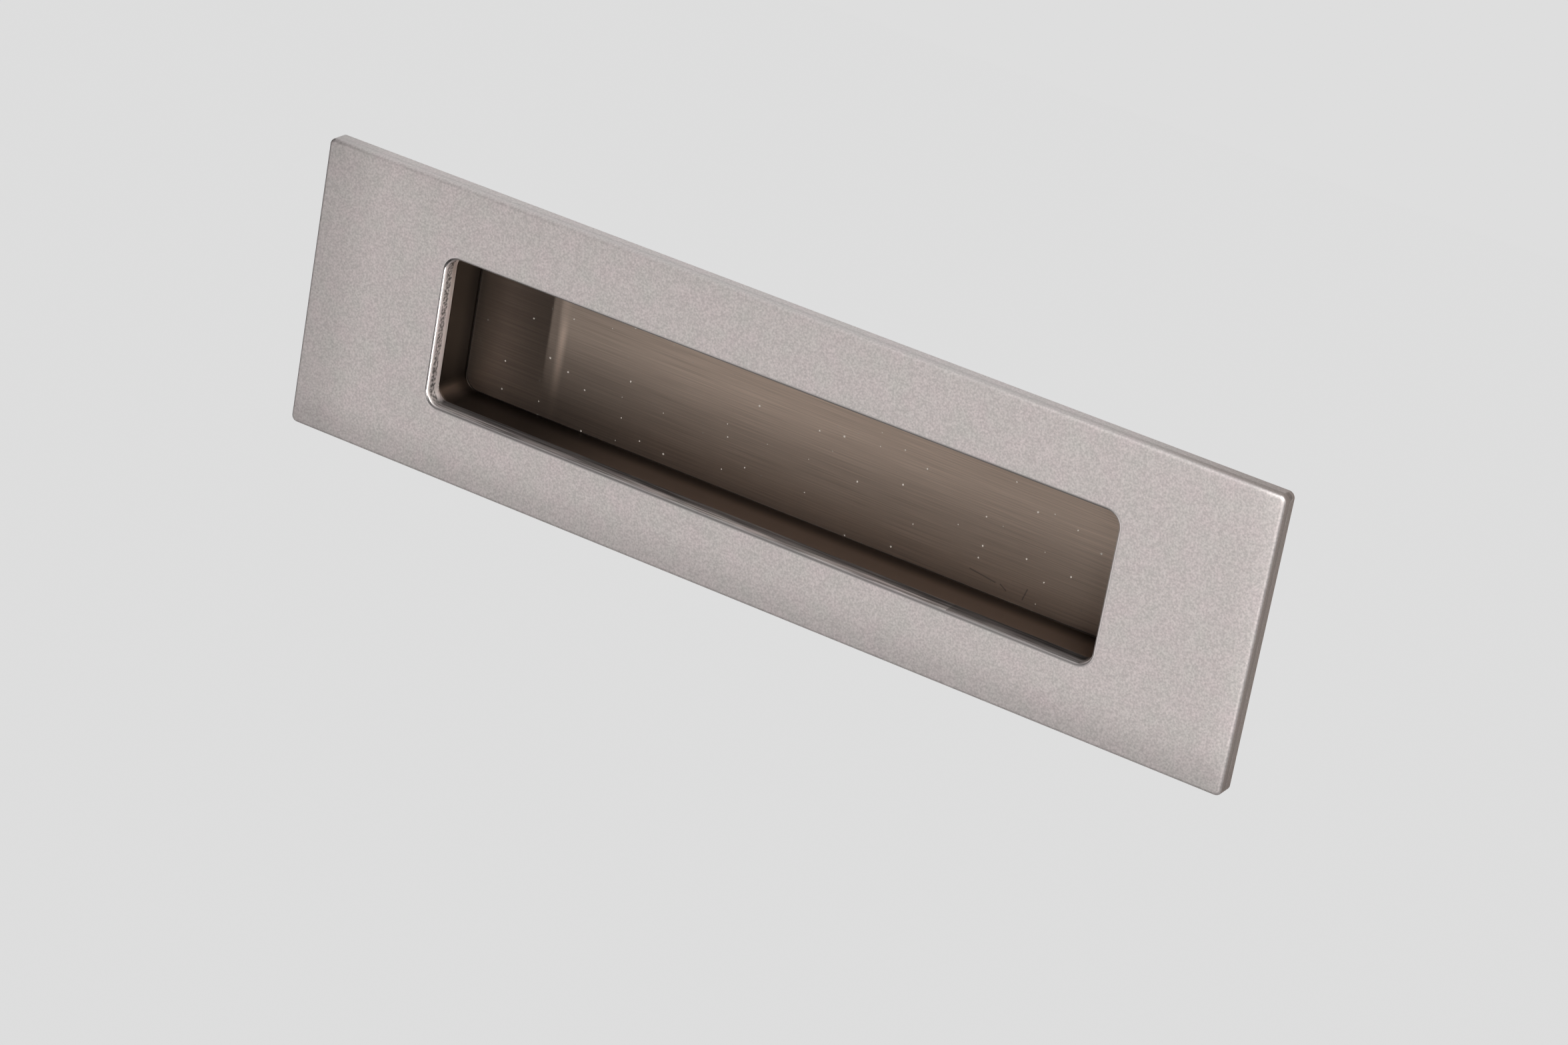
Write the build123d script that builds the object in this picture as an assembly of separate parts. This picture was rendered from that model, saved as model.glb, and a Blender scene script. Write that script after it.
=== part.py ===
"""Flush pull for a cabinet or sliding door.

A die-cast zinc face plate has a long opening, and a pressed steel tray behind it makes the
finger recess. The tray's flange lies on the plate's back, held by six small screws. Two tapped
bosses on the plate's back take the screws that come through the door.

The frame is the pull as mounted: X along its length, +Z up, +Y into the door. The origin is
the middle of the plate's back, where it lies on the door.
"""
import os
from build123d import *

# Face plate, set out from the two fixing bosses
FIXING_SPACING = 128.0
PLATE_END_MARGIN = 16.0
OPENING_END_MARGIN = 7.25
OPENING_HEIGHT = 23.5
RAIL_HEIGHT = 11.25
PLATE_THICKNESS = 3.0
PLATE_CORNER_R = 1.0
PLATE_EDGE_R = 0.6
OPENING_CORNER_R = 2.2
OPENING_EDGE_R = 0.5

# Fixing bosses on the plate's back, tapped M4
BOSS_R = 3.5
BOSS_HEIGHT = 6.0
BOSS_FOOT_R = 0.5
BOSS_CHAMFER = 0.4
FIXING_HOLE_R = 1.65
FIXING_HOLE_SKIN = 1.4

# Pressed tray
SHEET = 0.8
TRAY_DEPTH = 8.0
TRAY_SETBACK = 0.5
BEND_R = 0.5
FLOOR_R = 0.3
FLANGE_OVERHANG = 0.5
BOSS_NOTCH_CLEARANCE = 0.3

# Tray screws, M2 pan head with a cross recess
SCREWS_PER_SIDE = 3
SCREW_PITCH = 45.0
SCREW_SHANK_R = 0.97
SCREW_LENGTH = 3.0
SCREW_HEAD_R = 1.9
SCREW_HEAD_HEIGHT = 1.3
SCREW_HEAD_DOME = 0.6
SCREW_TIP_CHAMFER = 0.3
RECESS_LENGTH = 2.0
RECESS_WIDTH = 0.5
RECESS_DEPTH = 0.8
THREAD_CLEARANCE = 0.03
FLANGE_HOLE_CLEARANCE = 0.2
SCREW_TIP_CLEARANCE = 0.2
HEAD_CLEARANCE = 0.2

# Sizes that follow from the ones above
opening_length = FIXING_SPACING - 2 * OPENING_END_MARGIN
plate_length = FIXING_SPACING + 2 * PLATE_END_MARGIN
plate_height = OPENING_HEIGHT + 2 * RAIL_HEIGHT
boss_x = FIXING_SPACING / 2

tray_length = opening_length + 2 * TRAY_SETBACK
tray_height = OPENING_HEIGHT + 2 * TRAY_SETBACK
tray_corner_r = OPENING_CORNER_R + TRAY_SETBACK

screw_z = tray_height / 2 + SHEET + BEND_R + HEAD_CLEARANCE + SCREW_HEAD_R
flange_width = screw_z + SCREW_HEAD_R + FLANGE_OVERHANG - tray_height / 2
screw_places = [
    (SCREW_PITCH * (i - (SCREWS_PER_SIDE - 1) / 2), side * screw_z)
    for side in (-1, 1)
    for i in range(SCREWS_PER_SIDE)
]


def slab(length, height, corner_r, y_low, y_high):
    """Rounded rectangle in the plane of the door, from y_low to y_high."""
    profile = Plane.XZ.offset(-y_high) * RectangleRounded(length, height, corner_r)
    return extrude(profile, y_high - y_low)


def rod(x, z, radius, y_low, y_high):
    """Round bar that stands square to the door."""
    return extrude(Plane.XZ.offset(-y_high) * Pos(x, z) * Circle(radius), y_high - y_low)


def face_plate():
    """Casting with its opening, rounded front edges, two tapped bosses and the screw holes."""
    body = slab(plate_length, plate_height, PLATE_CORNER_R, -PLATE_THICKNESS, 0)
    body -= slab(opening_length, OPENING_HEIGHT, OPENING_CORNER_R, -PLATE_THICKNESS, 0)
    front = body.faces().sort_by(Axis.Y)[0]
    body = fillet(front.outer_wire().edges(), PLATE_EDGE_R)
    front = body.faces().sort_by(Axis.Y)[0]
    body = fillet(front.inner_wires()[0].edges(), OPENING_EDGE_R)

    for x in (-boss_x, boss_x):
        boss = rod(x, 0, BOSS_R, 0, BOSS_HEIGHT)
        boss = chamfer(boss.faces().sort_by(Axis.Y)[-1].edges(), BOSS_CHAMFER)
        body += boss
        circles = body.edges().filter_by(GeomType.CIRCLE).filter_by_position(Axis.Y, 0, 0)
        body = fillet(circles.sort_by_distance((x, 0, 0))[0], BOSS_FOOT_R)
        body -= rod(x, 0, FIXING_HOLE_R, FIXING_HOLE_SKIN - PLATE_THICKNESS, BOSS_HEIGHT)

    hole_depth = SCREW_LENGTH - SHEET + SCREW_TIP_CLEARANCE
    for x, z in screw_places:
        body -= rod(x, z, SCREW_SHANK_R + THREAD_CLEARANCE, -hole_depth, 0)
    return body


def recess_tray():
    """Pressed cup with a flange all round, bent from one thickness of sheet."""
    flange = slab(
        tray_length + 2 * flange_width,
        tray_height + 2 * flange_width,
        tray_corner_r + flange_width,
        0,
        SHEET,
    )
    cup = slab(
        tray_length + 2 * SHEET,
        tray_height + 2 * SHEET,
        tray_corner_r + SHEET,
        0,
        TRAY_DEPTH + SHEET,
    )
    body = flange + cup
    floor_back = body.faces().sort_by(Axis.Y)[-1]
    body = fillet(floor_back.edges(), FLOOR_R + SHEET)
    flange_back = body.faces().filter_by(Plane.XZ).sort_by(Axis.Y)[1]
    body = fillet(flange_back.inner_wires()[0].edges(), BEND_R)

    hollow = slab(tray_length, tray_height, tray_corner_r, 0, TRAY_DEPTH)
    hollow = fillet(hollow.faces().sort_by(Axis.Y)[-1].edges(), FLOOR_R)
    body -= hollow
    flange_front = body.faces().sort_by(Axis.Y)[0]
    body = fillet(flange_front.inner_wires()[0].edges(), BEND_R + SHEET)

    notch_r = BOSS_R + BOSS_FOOT_R + BOSS_NOTCH_CLEARANCE
    for x in (-boss_x, boss_x):
        body -= rod(x, 0, notch_r, 0, SHEET)
    for x, z in screw_places:
        body -= rod(x, z, SCREW_SHANK_R + FLANGE_HOLE_CLEARANCE, 0, SHEET)
    return body


def tray_screw(x, z):
    """Pan-head screw seated on the flange's back, with its tip towards the plate's face."""
    seat = SHEET
    top = seat + SCREW_HEAD_HEIGHT
    head = rod(x, z, SCREW_HEAD_R, seat, top)
    head = fillet(head.faces().sort_by(Axis.Y)[-1].edges(), SCREW_HEAD_DOME)
    shank = rod(x, z, SCREW_SHANK_R, seat - SCREW_LENGTH, seat)
    shank = chamfer(shank.faces().sort_by(Axis.Y)[0].edges(), SCREW_TIP_CHAMFER)
    body = head + shank
    for size in ((RECESS_LENGTH, RECESS_WIDTH), (RECESS_WIDTH, RECESS_LENGTH)):
        slot = Plane.XZ.offset(-top) * Pos(x, z) * Rectangle(*size)
        body -= extrude(slot, RECESS_DEPTH)
    return body


parts = {"face_plate": face_plate(), "recess_tray": recess_tray()}
for number, (x, z) in enumerate(screw_places, start=1):
    parts[f"tray_screw_{number}"] = tray_screw(x, z)

os.makedirs("parts", exist_ok=True)
for name, shape in parts.items():
    shape.label = name
    export_step(shape, f"parts/{name}.step")
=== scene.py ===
"""Flush pull with a blasted satin nickel plate and a brushed recess, lit by a plain soft studio."""
import math
import bmesh
import bpy
from mathutils import Matrix, Quaternion, Vector


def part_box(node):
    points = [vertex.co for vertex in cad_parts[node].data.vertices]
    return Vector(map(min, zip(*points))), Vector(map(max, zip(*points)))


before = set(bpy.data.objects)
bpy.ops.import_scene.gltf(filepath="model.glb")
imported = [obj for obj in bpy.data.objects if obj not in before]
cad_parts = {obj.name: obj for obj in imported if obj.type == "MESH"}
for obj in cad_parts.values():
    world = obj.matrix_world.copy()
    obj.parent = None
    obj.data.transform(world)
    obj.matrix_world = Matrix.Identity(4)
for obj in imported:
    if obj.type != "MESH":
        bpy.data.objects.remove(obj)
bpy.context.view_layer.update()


# Camera.
# It looks from the right and above, rolled so that the pull runs down to the right.

mm = 0.001
CAMERA_PLACE = Vector((318.25, -620.26, 289.15)) * mm
CAMERA_AIM = Vector((5.65, -3.0, -8.27)) * mm
CAMERA_ROLL = math.radians(-10.39)
CAMERA_LENS = 120.4
CAMERA_SENSOR = 36.0
CAMERA_NEAR = 50 * mm

camera_data = bpy.data.cameras.new("camera")
camera_data.sensor_width = CAMERA_SENSOR
camera_data.lens = CAMERA_LENS
camera_data.clip_start = CAMERA_NEAR
camera = bpy.data.objects.new("camera", camera_data)
bpy.context.scene.collection.objects.link(camera)
looking = (CAMERA_AIM - CAMERA_PLACE).to_track_quat("-Z", "Y")
camera.rotation_mode = "QUATERNION"
camera.rotation_quaternion = looking @ Quaternion((0, 0, 1), -CAMERA_ROLL)
camera.location = CAMERA_PLACE
bpy.context.scene.camera = camera


# Face plate.
# A die-casting in zinc alloy, nickel plated and then blasted with fine grit. Two bosses hold it to the
# door. The blast leaves a soft, even, slightly sparkling grey, and the plate's sides and the opening's
# worn rim are smoother.

PINK_GREY = "#d5caca"
GREEN_GREY = "#cdcac6"
# Fine grit leaves marks nearer 0.1 mm apart, and they are drawn coarser, so that they show.
GRIT = 0.31 * mm
GRIT_HEIGHT = 0.02 * mm
GRIT_SPECKLE = 0.13
CLOUD = 3.5 * mm
# The face's painted shade at its lower edge and at its left end: how far in it reaches, and how dark.
LOW_EDGE_WIDTH = 7.5 * mm
LOW_EDGE_SHADE = 0.85
LEFT_END_WIDTH = 12 * mm
LEFT_END_SHADE = 0.84
FACE_ROUGHNESS = 0.72
# How wide the face is rolled off at its ends and along its rails, and how far it drops.
END_ROLL = 5 * mm
RAIL_ROLL = 9 * mm
ROLL_DROP = 0.55 * mm

# The opening, from the pull's middle to its walls, and then its rim, out from them. Here and below, a
# pair of sizes is where a change begins and where it ends.
OPENING_END = 56.75 * mm
OPENING_SIDE = 11.75 * mm
OPENING_CORNER_R = 2.2 * mm
END_WALLS = (55.0 * mm, 56.3 * mm)
WALL_TO_RIM = (0.08 * mm, 0.16 * mm)
RIM_TO_FACE = (0.42 * mm, 0.62 * mm)
PAST_RIM = 1.0 * mm

# The opening's walls, from the face at -3 mm to the back at 0. The end walls have a band that is left as
# cast. The long walls are paler next to the face and darker deeper in, as painted shade, with greys given
# before and past a step.
PIT = 0.45 * mm
PIT_GREY = (0.25, 1.25)
CAST_FRONT = (-2.3 * mm, -1.9 * mm)
CAST_BACK = (-0.85 * mm, -0.65 * mm)
CAST_RAGGED = 0.9 * mm
CLEAN_GREY = 1.3
TRIM_LENGTH = 9 * mm
TRIM_PITCH = 0.35 * mm
TRIM_GREY = (0.16, 0.48)
WALL_SHADE_DEPTH = (-2.1 * mm, -1.1 * mm)
TRIM_STEP = 33.3 * mm
FRONT_WALL_GREY = (2.0, 1.2)
DEEP_WALL_SHADE = (0.62, 0.45)

# The rim's painted shade and highlight, and its roughness, along most of its length and at the end that is
# pulled. Then where the plate's sides start behind its face, and where its short sides start, measured
# from its ends.
RIM_SHADE_AND_HIGHLIGHT = (0.70, 1.15)
RIM_ROUGHNESS = (0.52, 0.25)
SIDES = (-2.97 * mm, -2.6 * mm)
LONG_SIDE_ROUGHNESS = 0.40
SHORT_SIDES = (-1.0 * mm, -0.6 * mm)
SHORT_SIDE_ROUGHNESS = 0.30
WELD_DISTANCE = 0.002 * mm


def srgb(hex_code):
    """Linear colour of an sRGB hex value such as #c8c0bc."""
    channels = [int(hex_code[i:i + 2], 16) / 255 for i in (1, 3, 5)]
    return [c / 12.92 if c <= 0.04045 else ((c + 0.055) / 1.055) ** 2.4 for c in channels] + [1.0]


def add(material, kind, settings=None, inputs=None):
    """Adds one node. Settings are its own properties, inputs are values or sockets to link."""
    tree = material.node_tree
    node = tree.nodes.new(kind)
    for key, value in (settings or {}).items():
        setattr(node, key, value)
    for key, value in (inputs or {}).items():
        if isinstance(value, bpy.types.NodeSocket):
            tree.links.new(value, node.inputs[key])
        else:
            node.inputs[key].default_value = value
    return node


def new_material(name):
    """An empty node material with its output, ready for a shader."""
    material = bpy.data.materials.new(name)
    material.use_nodes = True
    material.node_tree.nodes.clear()
    add(material, "ShaderNodeOutputMaterial")
    return material


def finish_with(material, shader):
    """Links the shader to the material's output."""
    output = next(n for n in material.node_tree.nodes if n.type == "OUTPUT_MATERIAL")
    material.node_tree.links.new(shader.outputs[0], output.inputs["Surface"])


def dress(node, material):
    """Gives a CAD solid its material and rounds its shading: triangles are welded and flats weighted."""
    node.data.materials.clear()
    node.data.materials.append(material)
    node.data.shade_smooth()
    weld = node.modifiers.new("weld", "WELD")
    weld.merge_threshold = WELD_DISTANCE
    normals = node.modifiers.new("normals", "WEIGHTED_NORMAL")
    normals.mode = "FACE_AREA"
    normals.weight = 100
    normals.keep_sharp = True


def distance_out(material, place, end, side, corner_r):
    """How far a point lies outside a rounded rectangle that is centred on the pull, in its face's plane."""
    corner = (end - corner_r, 0, side - corner_r)
    flat = add(material, "ShaderNodeVectorMath", {"operation": "ABSOLUTE"}, {0: place})
    past = add(material, "ShaderNodeVectorMath", {"operation": "SUBTRACT"}, {0: flat.outputs[0], 1: corner})
    split = add(material, "ShaderNodeSeparateXYZ", inputs={0: past.outputs[0]})
    inside = add(material, "ShaderNodeMath", {"operation": "MAXIMUM"}, {
        0: split.outputs["X"], 1: split.outputs["Z"]})
    inside = add(material, "ShaderNodeMath", {"operation": "MINIMUM"}, {0: inside.outputs[0], 1: 0.0})
    outside = add(material, "ShaderNodeVectorMath", {"operation": "MAXIMUM"}, {
        0: past.outputs[0], 1: (0, 0, 0)})
    outside = add(material, "ShaderNodeVectorMath", {"operation": "MULTIPLY"}, {
        0: outside.outputs[0], 1: (1, 0, 1)})
    length = add(material, "ShaderNodeVectorMath", {"operation": "LENGTH"}, {0: outside.outputs[0]})
    total = add(material, "ShaderNodeMath", {"operation": "ADD"}, {
        0: length.outputs["Value"], 1: inside.outputs[0]})
    return add(material, "ShaderNodeMath", {"operation": "SUBTRACT"}, {
        0: total.outputs[0], 1: corner_r}).outputs[0]


plate_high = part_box("face_plate")[1]
plate_end, plate_top = plate_high[0], plate_high[2]

satin_nickel = new_material("blasted_satin_nickel")
coordinates = add(satin_nickel, "ShaderNodeTexCoord")
place = coordinates.outputs["Object"]
where = add(satin_nickel, "ShaderNodeSeparateXYZ", inputs={0: place})
from_middle_x = add(satin_nickel, "ShaderNodeMath", {"operation": "ABSOLUTE"}, {0: where.outputs["X"]})
from_middle_z = add(satin_nickel, "ShaderNodeMath", {"operation": "ABSOLUTE"}, {0: where.outputs["Z"]})
from_opening = distance_out(satin_nickel, place, OPENING_END, OPENING_SIDE, OPENING_CORNER_R)

# The grit leaves fine speckle, and the plating bath a faint drift between a pink and a green grey. Noise
# keeps mostly to its middle values, so those are spread out, here and for the pits and the streaks.
grit = add(satin_nickel, "ShaderNodeTexNoise", inputs={"Vector": place, "Scale": 1 / GRIT, "Detail": 2.0})
cloud = add(satin_nickel, "ShaderNodeTexNoise", inputs={"Vector": place, "Scale": 1 / CLOUD, "Detail": 1.0})
tint = add(satin_nickel, "ShaderNodeMix", {"data_type": "RGBA"}, {
    "Factor": cloud.outputs["Fac"], "A": srgb(PINK_GREY), "B": srgb(GREEN_GREY)})
speckle = add(satin_nickel, "ShaderNodeMapRange", inputs={
    "Value": grit.outputs["Fac"], "From Min": 0.3, "From Max": 0.7,
    "To Min": 1 - GRIT_SPECKLE, "To Max": 1 + GRIT_SPECKLE})
# The face is painted darker towards its lower edge and its left end, as shade.
low_edge_shade = add(satin_nickel, "ShaderNodeMapRange", {"interpolation_type": "SMOOTHSTEP"}, {
    "Value": where.outputs["Z"], "From Min": -plate_top, "From Max": LOW_EDGE_WIDTH - plate_top,
    "To Min": LOW_EDGE_SHADE})
left_end_shade = add(satin_nickel, "ShaderNodeMapRange", {"interpolation_type": "SMOOTHSTEP"}, {
    "Value": where.outputs["X"], "From Min": -plate_end, "From Max": LEFT_END_WIDTH - plate_end,
    "To Min": LEFT_END_SHADE})
edge_shade = add(satin_nickel, "ShaderNodeMath", {"operation": "MULTIPLY"}, {
    0: low_edge_shade.outputs[0], 1: left_end_shade.outputs[0]})
speckle_and_shade = add(satin_nickel, "ShaderNodeMath", {"operation": "MULTIPLY"}, {
    0: speckle.outputs[0], 1: edge_shade.outputs[0]})

# The opening's end walls have a band that is left as cast, ragged, pitted and dull, between cleaner ones.
pits = add(satin_nickel, "ShaderNodeTexNoise", inputs={"Vector": place, "Scale": 1 / PIT, "Detail": 3.0})
pit_grey = add(satin_nickel, "ShaderNodeMapRange", inputs={
    "Value": pits.outputs["Fac"], "From Min": 0.38, "From Max": 0.62,
    "To Min": PIT_GREY[0], "To Max": PIT_GREY[1]})
ragged = add(satin_nickel, "ShaderNodeMath", {"operation": "MULTIPLY_ADD"}, {
    0: pits.outputs["Fac"], 1: CAST_RAGGED, 2: where.outputs["Y"]})
cast_start = add(satin_nickel, "ShaderNodeMapRange", inputs={
    "Value": ragged.outputs[0], "From Min": CAST_FRONT[0], "From Max": CAST_FRONT[1]})
cast_end = add(satin_nickel, "ShaderNodeMapRange", inputs={
    "Value": ragged.outputs[0], "From Min": CAST_BACK[1], "From Max": CAST_BACK[0]})
as_cast = add(satin_nickel, "ShaderNodeMath", {"operation": "MULTIPLY"}, {
    0: cast_start.outputs[0], 1: cast_end.outputs[0]})
end_wall = add(satin_nickel, "ShaderNodeMix", {"data_type": "FLOAT"}, {
    "Factor": as_cast.outputs[0], "A": CLEAN_GREY, "B": pit_grey.outputs[0]})

# The long walls carry streaks instead, left lengthwise by the trimming tool. They are paler next to the
# face and darker deeper in, which is painted shade, and both are darker past a step near the right end.
trim_place = add(satin_nickel, "ShaderNodeMapping", {"vector_type": "TEXTURE"}, {
    "Vector": place, "Scale": (TRIM_LENGTH, TRIM_PITCH, TRIM_PITCH)})
trim = add(satin_nickel, "ShaderNodeTexNoise", inputs={
    "Vector": trim_place.outputs[0], "Scale": 1.0, "Detail": 2.0})
trim_grey = add(satin_nickel, "ShaderNodeMapRange", inputs={
    "Value": trim.outputs["Fac"], "From Min": 0.36, "From Max": 0.64,
    "To Min": TRIM_GREY[0], "To Max": TRIM_GREY[1]})
past_step = add(satin_nickel, "ShaderNodeMath", {"operation": "GREATER_THAN"}, {
    0: where.outputs["X"], 1: TRIM_STEP})
front_wall_grey = add(satin_nickel, "ShaderNodeMix", {"data_type": "FLOAT"}, {
    "Factor": past_step.outputs[0], "A": FRONT_WALL_GREY[0], "B": FRONT_WALL_GREY[1]})
deep_wall_shade = add(satin_nickel, "ShaderNodeMix", {"data_type": "FLOAT"}, {
    "Factor": past_step.outputs[0], "A": DEEP_WALL_SHADE[0], "B": DEEP_WALL_SHADE[1]})
wall_depth_shade = add(satin_nickel, "ShaderNodeMapRange", {"interpolation_type": "SMOOTHSTEP"}, {
    "Value": where.outputs["Y"], "From Min": WALL_SHADE_DEPTH[0], "From Max": WALL_SHADE_DEPTH[1],
    "To Min": front_wall_grey.outputs[0], "To Max": deep_wall_shade.outputs[0]})
long_wall = add(satin_nickel, "ShaderNodeMath", {"operation": "MULTIPLY"}, {
    0: trim_grey.outputs[0], 1: wall_depth_shade.outputs[0]})
at_end = add(satin_nickel, "ShaderNodeMapRange", inputs={
    "Value": from_middle_x.outputs[0], "From Min": END_WALLS[0], "From Max": END_WALLS[1]})
wall_grey = add(satin_nickel, "ShaderNodeMix", {"data_type": "FLOAT"}, {
    "Factor": at_end.outputs[0], "A": long_wall.outputs[0], "B": end_wall.outputs[0]})
in_opening = add(satin_nickel, "ShaderNodeMapRange", inputs={
    "Value": from_opening, "From Min": WALL_TO_RIM[1], "From Max": WALL_TO_RIM[0]})
shade = add(satin_nickel, "ShaderNodeMix", {"data_type": "FLOAT"}, {
    "Factor": in_opening.outputs[0], "A": speckle_and_shade.outputs[0], "B": wall_grey.outputs[0]})

# The opening's rounded rim is painted darker than the face along most of its length, as shade, and
# brighter at the end that is pulled, as a painted highlight. Hands have worn it smoother than the face,
# most at that end.
at_opening = add(satin_nickel, "ShaderNodeMapRange", {"interpolation_type": "SMOOTHSTEP"}, {
    "Value": from_opening, "From Min": RIM_TO_FACE[1], "From Max": RIM_TO_FACE[0]})
at_rim = add(satin_nickel, "ShaderNodeMath", {"operation": "SUBTRACT", "use_clamp": True}, {
    0: at_opening.outputs[0], 1: in_opening.outputs[0]})
pulled_end = add(satin_nickel, "ShaderNodeMapRange", inputs={
    "Value": where.outputs["X"], "From Min": -END_WALLS[0], "From Max": -END_WALLS[1]})
rim_shade_and_highlight = add(satin_nickel, "ShaderNodeMapRange", inputs={
    "Value": pulled_end.outputs[0], "To Min": RIM_SHADE_AND_HIGHLIGHT[0], "To Max": RIM_SHADE_AND_HIGHLIGHT[1]})
shade = add(satin_nickel, "ShaderNodeMix", {"data_type": "FLOAT"}, {
    "Factor": at_rim.outputs[0], "A": shade.outputs[0], "B": rim_shade_and_highlight.outputs[0]})
grey = add(satin_nickel, "ShaderNodeVectorMath", {"operation": "SCALE"}, {
    0: tint.outputs["Result"], "Scale": shade.outputs[0]})
rim_roughness = add(satin_nickel, "ShaderNodeMapRange", inputs={
    "Value": pulled_end.outputs[0], "To Min": RIM_ROUGHNESS[0], "To Max": RIM_ROUGHNESS[1]})
roughness = add(satin_nickel, "ShaderNodeMix", {"data_type": "FLOAT"}, {
    "Factor": at_rim.outputs[0], "A": FACE_ROUGHNESS, "B": rim_roughness.outputs[0]})

# The plate's sides got little of the blast. They are smoother too, the short ones most.
behind_edge = add(satin_nickel, "ShaderNodeMapRange", inputs={
    "Value": where.outputs["Y"], "From Min": SIDES[0], "From Max": SIDES[1]})
outside = add(satin_nickel, "ShaderNodeMath", {"operation": "GREATER_THAN"}, {0: from_opening, 1: PAST_RIM})
at_side = add(satin_nickel, "ShaderNodeMath", {"operation": "MULTIPLY"}, {
    0: behind_edge.outputs[0], 1: outside.outputs[0]})
side_roughness = add(satin_nickel, "ShaderNodeMapRange", inputs={
    "Value": from_middle_x.outputs[0],
    "From Min": plate_end + SHORT_SIDES[0], "From Max": plate_end + SHORT_SIDES[1],
    "To Min": LONG_SIDE_ROUGHNESS, "To Max": SHORT_SIDE_ROUGHNESS})
roughness = add(satin_nickel, "ShaderNodeMix", {"data_type": "FLOAT"}, {
    "Factor": at_side.outputs[0], "A": roughness.outputs[0], "B": side_roughness.outputs[0]})

# Polishing before the blast has rolled the face off by a hair towards its ends and long edges. The back
# was milled flat, so it takes no roll-off and keeps its true normal.
facing = add(satin_nickel, "ShaderNodeSeparateXYZ", inputs={0: coordinates.outputs["Normal"]})
not_back = add(satin_nickel, "ShaderNodeMath", {"operation": "LESS_THAN"}, {0: facing.outputs["Y"], 1: 0.5})
roll = 0.0
for distance, edge, width in ((from_middle_x, plate_end, END_ROLL), (from_middle_z, plate_top, RAIL_ROLL)):
    near_edge = add(satin_nickel, "ShaderNodeMapRange", inputs={
        "Value": distance.outputs[0], "From Min": edge - width, "From Max": edge})
    roll = add(satin_nickel, "ShaderNodeMath", {"operation": "MULTIPLY_ADD"}, {
        0: near_edge.outputs[0], 1: near_edge.outputs[0], 2: roll}).outputs[0]
roll = add(satin_nickel, "ShaderNodeMath", {"operation": "MULTIPLY"}, {0: roll, 1: not_back.outputs[0]})
geometry = add(satin_nickel, "ShaderNodeNewGeometry")
flat_back = add(satin_nickel, "ShaderNodeMix", {"data_type": "VECTOR"}, {
    "Factor": not_back.outputs[0], "A": geometry.outputs["True Normal"], "B": geometry.outputs["Normal"]})
roll_bump = add(satin_nickel, "ShaderNodeBump", {"invert": True}, {
    "Height": roll.outputs[0], "Strength": 1.0, "Distance": ROLL_DROP,
    "Normal": flat_back.outputs["Result"]})
unworn = add(satin_nickel, "ShaderNodeMath", {"operation": "SUBTRACT"}, {0: 1.0, 1: at_rim.outputs[0]})
grit_height = add(satin_nickel, "ShaderNodeMath", {"operation": "MULTIPLY"}, {
    0: grit.outputs["Fac"], 1: unworn.outputs[0]})
grit_bump = add(satin_nickel, "ShaderNodeBump", inputs={
    "Height": grit_height.outputs[0], "Strength": 0.5, "Distance": GRIT_HEIGHT,
    "Normal": roll_bump.outputs[0]})
shader = add(satin_nickel, "ShaderNodeBsdfPrincipled", inputs={
    "Base Color": grey.outputs[0], "Metallic": 1.0, "Roughness": roughness.outputs[0],
    "Normal": grit_bump.outputs[0]})
finish_with(satin_nickel, shader)
dress(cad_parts["face_plate"], satin_nickel)


# Recess tray.
# Stainless sheet, pressed into a shallow cup with a flange, which six screws hold to the plate's back.
# It was brushed along its length, and the lines stretch reflections and leave it a darker, warmer grey.

BRUSHED_DARK = "#b9a596"
BRUSHED_PALE = "#ffe9d8"
LONG_WALL_BROWN = "#74675e"
# The end walls' darker brown is painted shade.
END_WALL_SHADED_BROWN = "#4b433d"
# Real brush lines lie nearer 0.05 mm apart, and they are drawn coarser, so that they show.
BRUSH_PITCH = 0.16 * mm
BRUSH_LENGTH = 14 * mm
BRUSH_HEIGHT = 0.02 * mm
# Roughness, and how far reflections are stretched, on the drawn walls and then on the brushed floor.
TRAY_ROUGHNESS = (0.46, 0.55)
TRAY_STRETCH = (0.30, 0.74)

# The cup's inside, from the pull's middle to its walls and floor. IN_SHEET reaches past these surfaces,
# but not through the sheet.
SHEET = 0.8 * mm
TRAY_SETBACK = 0.5 * mm
TRAY_END = OPENING_END + TRAY_SETBACK
TRAY_SIDE = OPENING_SIDE + TRAY_SETBACK
TRAY_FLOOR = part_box("recess_tray")[1][1] - SHEET
IN_SHEET = 0.35 * mm
ON_FLOOR = (-0.05 * mm, -0.01 * mm)
ON_END_WALL = (-0.4 * mm, -0.05 * mm)
DISH = 0.6 * mm

# Where the floor is painted darker towards the left end, as shade, and a painted stripe of light across
# it, whose width is taken where it is half as strong.
LEFT_SHADE_SPAN = (-60 * mm, 0.0)
LEFT_SHADE_GREY = 0.62
LIGHT_STRIPE_X = -41.7 * mm
LIGHT_STRIPE_WIDTH = 1.1 * mm
LIGHT_STRIPE_STRENGTH = 0.5
STRIPE_TOP = (0.5 * mm, 5.5 * mm)
STRIPE_TOP_STRENGTH = 0.15
STRIPE_FOOT = (-10 * mm, -2 * mm)
STRIPE_FOOT_STRENGTH = 0.1

# How the walls are painted darker, as shade, from their front towards the bend and from the middle
# towards the left end.
TO_BEND = (4.0 * mm, 7.4 * mm)
TO_BEND_GREY = (1.66, 0.48)
DARK_END = (-44 * mm, -22 * mm)
DARK_END_GREY = 0.38
OUTSIDE_GREY = 1.2

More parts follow.
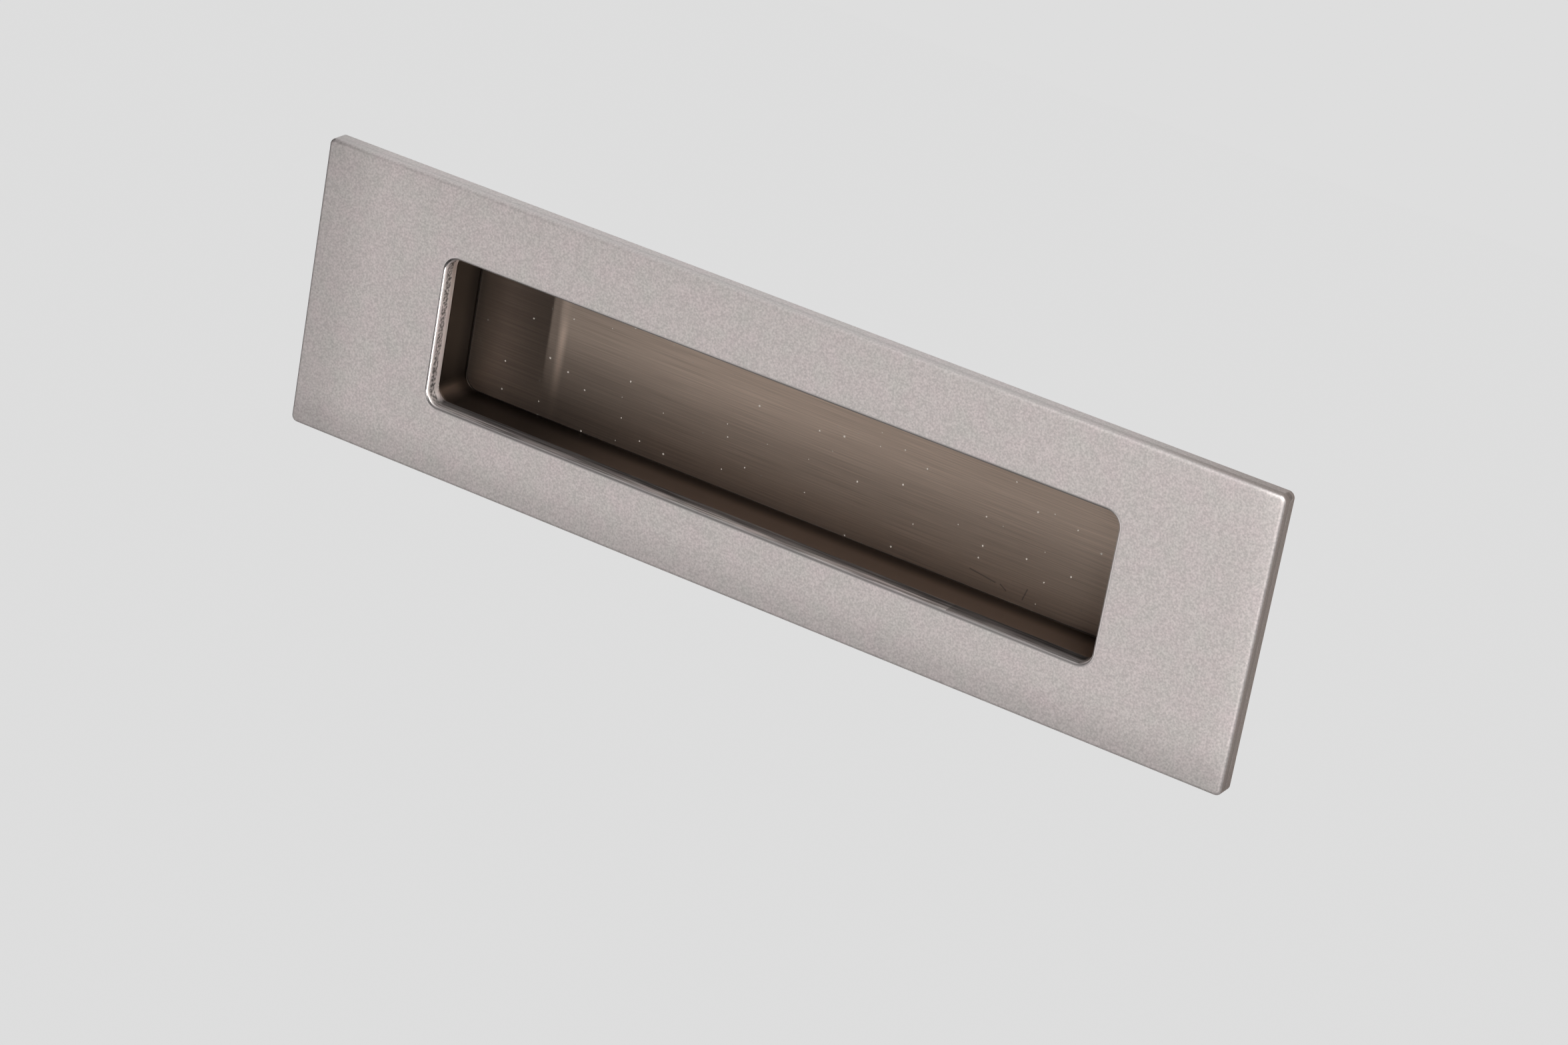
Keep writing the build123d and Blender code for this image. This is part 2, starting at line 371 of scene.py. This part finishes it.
# Each scratch runs from one point to another, in millimetres along the floor and up it from its middle.
# They are drawn a little wider than real ones, so that they show.
SCRATCHES = (
    ((30.8, -9.4), (35.1, -10.0)),
    ((36.0, -10.0), (37.0, -10.6)),
    ((40.3, -9.2), (39.8, -11.0)),
)
SCRATCH_WIDTH = 0.16 * mm
SCRATCH_LOSS = 0.45

# Grains of dust lie about this far apart. A grain's radius is a random share of the first number less
# the second, both in gaps, so that the smallest grains vanish.
DUST_GREY = "#b5ada4"
DUST_GAP = 3.6 * mm
DUST_RADIUS = 0.07
DUST_LOSS = 0.025


def scratch(material, place, start, end):
    """How far a point lies in a short scratch on the tray's floor, from 0, outside, to 1, in its middle."""
    start = Vector((start[0], 0, start[1])) * mm
    line = Vector((end[0], 0, end[1])) * mm - start
    flat = add(material, "ShaderNodeVectorMath", {"operation": "MULTIPLY"}, {0: place, 1: (1, 0, 1)})
    from_start = add(material, "ShaderNodeVectorMath", {"operation": "SUBTRACT"}, {
        0: flat.outputs[0], 1: start})
    along = add(material, "ShaderNodeVectorMath", {"operation": "DOT_PRODUCT"}, {
        0: from_start.outputs[0], 1: line / line.length_squared})
    along = add(material, "ShaderNodeClamp", inputs={"Value": along.outputs["Value"]})
    nearest = add(material, "ShaderNodeVectorMath", {"operation": "SCALE"}, {
        0: line, "Scale": along.outputs[0]})
    apart = add(material, "ShaderNodeVectorMath", {"operation": "DISTANCE"}, {
        0: from_start.outputs[0], 1: nearest.outputs[0]})
    return add(material, "ShaderNodeMapRange", inputs={
        "Value": apart.outputs["Value"], "From Min": SCRATCH_WIDTH, "From Max": 0.0})


brushed = new_material("brushed_stainless_sheet")
place = add(brushed, "ShaderNodeTexCoord").outputs["Object"]
where = add(brushed, "ShaderNodeSeparateXYZ", inputs={0: place})
from_middle_x = add(brushed, "ShaderNodeMath", {"operation": "ABSOLUTE"}, {0: where.outputs["X"]})
from_middle_z = add(brushed, "ShaderNodeMath", {"operation": "ABSOLUTE"}, {0: where.outputs["Z"]})
streak_place = add(brushed, "ShaderNodeMapping", {"vector_type": "TEXTURE"}, {
    "Vector": place, "Scale": (BRUSH_LENGTH, BRUSH_PITCH, BRUSH_PITCH)})
streaks = add(brushed, "ShaderNodeTexNoise", inputs={
    "Vector": streak_place.outputs[0], "Scale": 1.0, "Detail": 3.0})
tone = add(brushed, "ShaderNodeMix", {"data_type": "RGBA"}, {
    "Factor": streaks.outputs["Fac"], "A": srgb(BRUSHED_DARK), "B": srgb(BRUSHED_PALE)})

# Brushing shows only on the floor, inside and out, and the drawn walls stay darker. The cup's inside has
# marks and shades that its outside and the flange don't have.
on_floor = add(brushed, "ShaderNodeMapRange", inputs={
    "Value": where.outputs["Y"], "From Min": TRAY_FLOOR + ON_FLOOR[0], "From Max": TRAY_FLOOR + ON_FLOOR[1]})
inside = 1.0
for distance, wall in ((from_middle_x.outputs[0], TRAY_END), (from_middle_z.outputs[0], TRAY_SIDE),
                       (where.outputs["Y"], TRAY_FLOOR)):
    within = add(brushed, "ShaderNodeMath", {"operation": "LESS_THAN"}, {0: distance, 1: wall + IN_SHEET})
    inside = add(brushed, "ShaderNodeMath", {"operation": "MULTIPLY"}, {
        0: inside, 1: within.outputs[0]}).outputs[0]

# The floor is painted darker towards the left end, as shade, and a painted stripe of light crosses it
# there, strongest at mid height.
floor_light_shade_and_scratches = add(brushed, "ShaderNodeMapRange", {"interpolation_type": "SMOOTHSTEP"}, {
    "Value": where.outputs["X"], "From Min": LEFT_SHADE_SPAN[0], "From Max": LEFT_SHADE_SPAN[1], "To Min": LEFT_SHADE_GREY})
from_light_stripe = add(brushed, "ShaderNodeMath", {"operation": "SUBTRACT"}, {0: where.outputs["X"], 1: LIGHT_STRIPE_X})
from_light_stripe = add(brushed, "ShaderNodeMath", {"operation": "ABSOLUTE"}, {0: from_light_stripe.outputs[0]})
light_stripe = add(brushed, "ShaderNodeMapRange", {"interpolation_type": "SMOOTHSTEP"}, {
    "Value": from_light_stripe.outputs[0], "From Min": LIGHT_STRIPE_WIDTH, "From Max": 0.0, "To Max": LIGHT_STRIPE_STRENGTH})
stripe_top = add(brushed, "ShaderNodeMapRange", {"interpolation_type": "SMOOTHSTEP"}, {
    "Value": where.outputs["Z"], "From Min": STRIPE_TOP[1], "From Max": STRIPE_TOP[0],
    "To Min": STRIPE_TOP_STRENGTH})
stripe_foot = add(brushed, "ShaderNodeMapRange", {"interpolation_type": "SMOOTHSTEP"}, {
    "Value": where.outputs["Z"], "From Min": STRIPE_FOOT[0], "From Max": STRIPE_FOOT[1],
    "To Min": STRIPE_FOOT_STRENGTH})
stripe_height = add(brushed, "ShaderNodeMath", {"operation": "MULTIPLY"}, {
    0: stripe_top.outputs[0], 1: stripe_foot.outputs[0]})
floor_light_shade_and_scratches = add(brushed, "ShaderNodeMath", {"operation": "MULTIPLY_ADD"}, {
    0: light_stripe.outputs[0], 1: stripe_height.outputs[0], 2: floor_light_shade_and_scratches.outputs[0]})
floor_light_shade_and_scratches = add(brushed, "ShaderNodeMix", {"data_type": "FLOAT"}, {
    "Factor": inside, "A": 1.0, "B": floor_light_shade_and_scratches.outputs[0]})
# Three short scratches cross the brush lines near the right end.
for start, end in SCRATCHES:
    in_scratch = scratch(brushed, place, start, end)
    worn = add(brushed, "ShaderNodeMath", {"operation": "MULTIPLY"}, {0: in_scratch.outputs[0], 1: inside})
    floor_light_shade_and_scratches = add(brushed, "ShaderNodeMath", {"operation": "MULTIPLY_ADD"}, {
        0: worn.outputs[0], 1: -SCRATCH_LOSS, 2: floor_light_shade_and_scratches.outputs[0]})
floor_colour = add(brushed, "ShaderNodeVectorMath", {"operation": "SCALE"}, {
    0: tone.outputs["Result"], "Scale": floor_light_shade_and_scratches.outputs[0]})

# The walls are painted darker towards the bend and towards the left end, as shade.
at_end = add(brushed, "ShaderNodeMapRange", inputs={
    "Value": from_middle_x.outputs[0],
    "From Min": TRAY_END + ON_END_WALL[0], "From Max": TRAY_END + ON_END_WALL[1]})
at_end = add(brushed, "ShaderNodeMath", {"operation": "MULTIPLY"}, {0: at_end.outputs[0], 1: inside})
# The end walls are painted a darker brown than the long ones, as shade.
shaded_wall_brown = add(brushed, "ShaderNodeMix", {"data_type": "RGBA"}, {
    "Factor": at_end.outputs[0], "A": srgb(LONG_WALL_BROWN), "B": srgb(END_WALL_SHADED_BROWN)})
bend_shade = add(brushed, "ShaderNodeMapRange", {"interpolation_type": "SMOOTHSTEP"}, {
    "Value": where.outputs["Y"], "From Min": TO_BEND[0], "From Max": TO_BEND[1],
    "To Min": TO_BEND_GREY[0], "To Max": TO_BEND_GREY[1]})
left_end_wall_shade = add(brushed, "ShaderNodeMapRange", {"interpolation_type": "SMOOTHSTEP"}, {
    "Value": where.outputs["X"], "From Min": DARK_END[0], "From Max": DARK_END[1],
    "To Min": DARK_END_GREY})
wall_shade = add(brushed, "ShaderNodeMath", {"operation": "MULTIPLY"}, {
    0: bend_shade.outputs[0], 1: left_end_wall_shade.outputs[0]})
wall_shade = add(brushed, "ShaderNodeMix", {"data_type": "FLOAT"}, {
    "Factor": inside, "A": OUTSIDE_GREY, "B": wall_shade.outputs[0]})
wall_colour = add(brushed, "ShaderNodeVectorMath", {"operation": "SCALE"}, {
    0: shaded_wall_brown.outputs["Result"], "Scale": wall_shade.outputs[0]})
metal = add(brushed, "ShaderNodeMix", {"data_type": "RGBA"}, {
    "Factor": on_floor.outputs[0], "A": wall_colour.outputs[0], "B": floor_colour.outputs[0]})

# A few grains of pale dust lie on the floor.
floor_place = add(brushed, "ShaderNodeCombineXYZ", inputs={"X": where.outputs["X"], "Y": where.outputs["Z"]})
grains = add(brushed, "ShaderNodeTexVoronoi", {"voronoi_dimensions": "2D"}, {
    "Vector": floor_place.outputs[0], "Scale": 1 / DUST_GAP})
chance = add(brushed, "ShaderNodeSeparateColor", inputs={0: grains.outputs["Color"]})
radius = add(brushed, "ShaderNodeMath", {"operation": "MULTIPLY_ADD"}, {
    0: chance.outputs[0], 1: DUST_RADIUS, 2: -DUST_LOSS})
dust = add(brushed, "ShaderNodeMath", {"operation": "LESS_THAN"}, {
    0: grains.outputs["Distance"], 1: radius.outputs[0]})
dust = add(brushed, "ShaderNodeMath", {"operation": "MULTIPLY"}, {
    0: dust.outputs[0], 1: on_floor.outputs[0]})
dust = add(brushed, "ShaderNodeMath", {"operation": "MULTIPLY"}, {0: dust.outputs[0], 1: inside})
dusty = add(brushed, "ShaderNodeMix", {"data_type": "RGBA"}, {
    "Factor": dust.outputs[0], "A": metal.outputs["Result"], "B": srgb(DUST_GREY)})
bare = add(brushed, "ShaderNodeMath", {"operation": "SUBTRACT"}, {0: 1.0, 1: dust.outputs[0]})

# Pressing leaves the floor very slightly dished along its length, and the brush its fine furrows.
along = add(brushed, "ShaderNodeMath", {"operation": "DIVIDE"}, {0: where.outputs["X"], 1: TRAY_END})
dish = add(brushed, "ShaderNodeMath", {"operation": "POWER"}, {0: along.outputs[0], 1: 2.0})
dish = add(brushed, "ShaderNodeMath", {"operation": "MULTIPLY"}, {
    0: dish.outputs[0], 1: on_floor.outputs[0]})
dish_bump = add(brushed, "ShaderNodeBump", inputs={
    "Height": dish.outputs[0], "Strength": 1.0, "Distance": DISH})
streak_bump = add(brushed, "ShaderNodeBump", inputs={
    "Height": streaks.outputs["Fac"], "Strength": 0.35, "Distance": BRUSH_HEIGHT,
    "Normal": dish_bump.outputs[0]})
roughness = add(brushed, "ShaderNodeMapRange", inputs={
    "Value": on_floor.outputs[0], "To Min": TRAY_ROUGHNESS[0], "To Max": TRAY_ROUGHNESS[1]})
stretch = add(brushed, "ShaderNodeMapRange", inputs={
    "Value": on_floor.outputs[0], "To Min": TRAY_STRETCH[0], "To Max": TRAY_STRETCH[1]})
lengthwise = add(brushed, "ShaderNodeTangent", {"direction_type": "RADIAL", "axis": "X"})
shader = add(brushed, "ShaderNodeBsdfPrincipled", inputs={
    "Base Color": dusty.outputs["Result"], "Metallic": bare.outputs[0], "Roughness": roughness.outputs[0],
    "Anisotropic": stretch.outputs[0], "Tangent": lengthwise.outputs[0], "Normal": streak_bump.outputs[0]})
finish_with(brushed, shader)
dress(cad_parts["recess_tray"], brushed)


# Tray screws.
# Six M2 pan-head screws in bright zinc plated steel, driven through the tray's flange into the plate.
# The plating is a pale bluish mirror with a light haze.

ZINC_BLUE = "#ccd0d4"
HAZE = 0.8 * mm
HAZE_ROUGHNESS = (0.18, 0.34)

zinc_plated = new_material("bright_zinc_plated_steel")
place = add(zinc_plated, "ShaderNodeTexCoord").outputs["Object"]
haze = add(zinc_plated, "ShaderNodeTexNoise", inputs={"Vector": place, "Scale": 1 / HAZE, "Detail": 3.0})
roughness = add(zinc_plated, "ShaderNodeMapRange", inputs={
    "Value": haze.outputs["Fac"], "To Min": HAZE_ROUGHNESS[0], "To Max": HAZE_ROUGHNESS[1]})
shader = add(zinc_plated, "ShaderNodeBsdfPrincipled", inputs={
    "Base Color": srgb(ZINC_BLUE), "Metallic": 1.0, "Roughness": roughness.outputs[0]})
finish_with(zinc_plated, shader)

for name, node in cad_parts.items():
    if name.startswith("tray_screw"):
        dress(node, zinc_plated)


# Studio.
# A pale floor and surround, two narrow lamps at the lower left, and soft boxes in front, at the right
# front and at the upper right. As a photographer shades bright metal, dark felt stands all round and a
# pale card behind the right end, which only reflections see. Sizes here are in metres.

BACKGROUND = "#dedede"
FLOOR_PAPER = "#5a5a5a"
FLOOR_GLOW = "#d3d3d3"
FLOOR_DROP = 2.8
FLOOR_SIZE = 16.0
DARK_FELT = "#303030"
PALE_FELT = "#97908b"


def rectangle(name, material, wide, high, centre, turn=0.0, tilt=0.0):
    """A flat card of the stage, turned by degrees. Unturned it stands in the plane of the pull's face."""
    mesh = bpy.data.meshes.new(name)
    bm = bmesh.new()
    bmesh.ops.create_grid(bm, x_segments=1, y_segments=1, size=0.5)
    bmesh.ops.scale(bm, verts=bm.verts, vec=(wide, high, 1))
    rotation = (Matrix.Rotation(math.radians(turn), 4, "Z")
                @ Matrix.Rotation(math.radians(90 - tilt), 4, "X"))
    bmesh.ops.transform(bm, verts=bm.verts, matrix=Matrix.Translation(Vector(centre)) @ rotation)
    bm.to_mesh(mesh)
    bm.free()
    mesh.materials.append(material)
    card = bpy.data.objects.new(name, mesh)
    bpy.context.scene.collection.objects.link(card)
    return card


# Matt paper, which takes the pull's shadow and shows no highlight. The glow that makes it pale is seen by
# the camera and by reflections, and lights nothing.
paper = new_material("pale_paper")
light_path = add(paper, "ShaderNodeLightPath")
seen = add(paper, "ShaderNodeMath", {"operation": "MAXIMUM"}, {
    0: light_path.outputs["Is Camera Ray"], 1: light_path.outputs["Is Glossy Ray"]})
seen = add(paper, "ShaderNodeMath", {"operation": "MAXIMUM"}, {
    0: seen.outputs[0], 1: light_path.outputs["Is Transmission Ray"]})
matte = add(paper, "ShaderNodeBsdfDiffuse", inputs={"Color": srgb(FLOOR_PAPER)})
glow = add(paper, "ShaderNodeEmission", inputs={"Color": srgb(FLOOR_GLOW), "Strength": seen.outputs[0]})
both = add(paper, "ShaderNodeAddShader", inputs={0: matte.outputs[0], 1: glow.outputs[0]})
finish_with(paper, both)
rectangle("floor", paper, FLOOR_SIZE, FLOOR_SIZE, (0, 0, -FLOOR_DROP), tilt=90)

# Each card's colour, width, height, centre, turn and tilt.
CARDS = {
    "low_card": (DARK_FELT, 6.0, 3.6, (0, -1.75, -2.5), 0, 90),
    "high_card": (DARK_FELT, 6.0, 2.0, (0, -2.5, 2.5), 0, 90),
    "left_card": (DARK_FELT, 5.6, 5.0, (-3.0, -0.75, 0), 90, 0),
    "side_card": (DARK_FELT, 3.6, 5.0, (3.0, -1.75, 0), 90, 0),
    "front_card": (DARK_FELT, 6.0, 5.0, (0, -3.55, 0), 0, 0),
    "right_card": (PALE_FELT, 0.5, 0.5, (0.25, 0.16, -0.02), 0, 0),
}
for name, (colour, wide, high, centre, turn, tilt) in CARDS.items():
    felt = new_material(name + "_felt")
    finish_with(felt, add(felt, "ShaderNodeEmission", inputs={"Color": srgb(colour), "Strength": 1.0}))
    card = rectangle(name, felt, wide, high, centre, turn, tilt)
    card.visible_camera = card.visible_diffuse = card.visible_shadow = False

# Each lamp's place, what it faces, its width and height, and its power in watts.
LAMPS = {
    "key_lamp": ((-2.429, -2.0, -1.242), (-0.02, 0, 0), 0.05, 1.46, 23.0),
    "second_lamp": ((-2.159, -1.6, -1.876), (-0.02, 0, 0), 0.04, 0.60, 13.8),
    "front_box": ((0, -0.886, -0.156), (0, 0, 0), 0.3, 0.3, 0.40),
    "edge_box": ((0.422, -0.540, -0.146), (0, 0, 0), 0.14, 0.45, 2.5),
    "side_box": ((0.273, -0.170, 0.383), (0, 0, 0), 0.3, 0.3, 2.6),
}
for name, (place, aim, wide, high, power) in LAMPS.items():
    light = bpy.data.lights.new(name, "AREA")
    light.shape = "RECTANGLE"
    light.size = wide
    light.size_y = high
    light.energy = power
    lamp = bpy.data.objects.new(name, light)
    lamp.location = place
    lamp.rotation_euler = (Vector(aim) - Vector(place)).to_track_quat("-Z", "Y").to_euler()
    bpy.context.scene.collection.objects.link(lamp)

world = bpy.data.worlds.new("studio")
world.use_nodes = True
world.node_tree.nodes["Background"].inputs["Color"].default_value = srgb(BACKGROUND)
world.node_tree.nodes["Background"].inputs["Strength"].default_value = 1.0
bpy.context.scene.world = world

bpy.context.scene.view_settings.view_transform = "Standard"
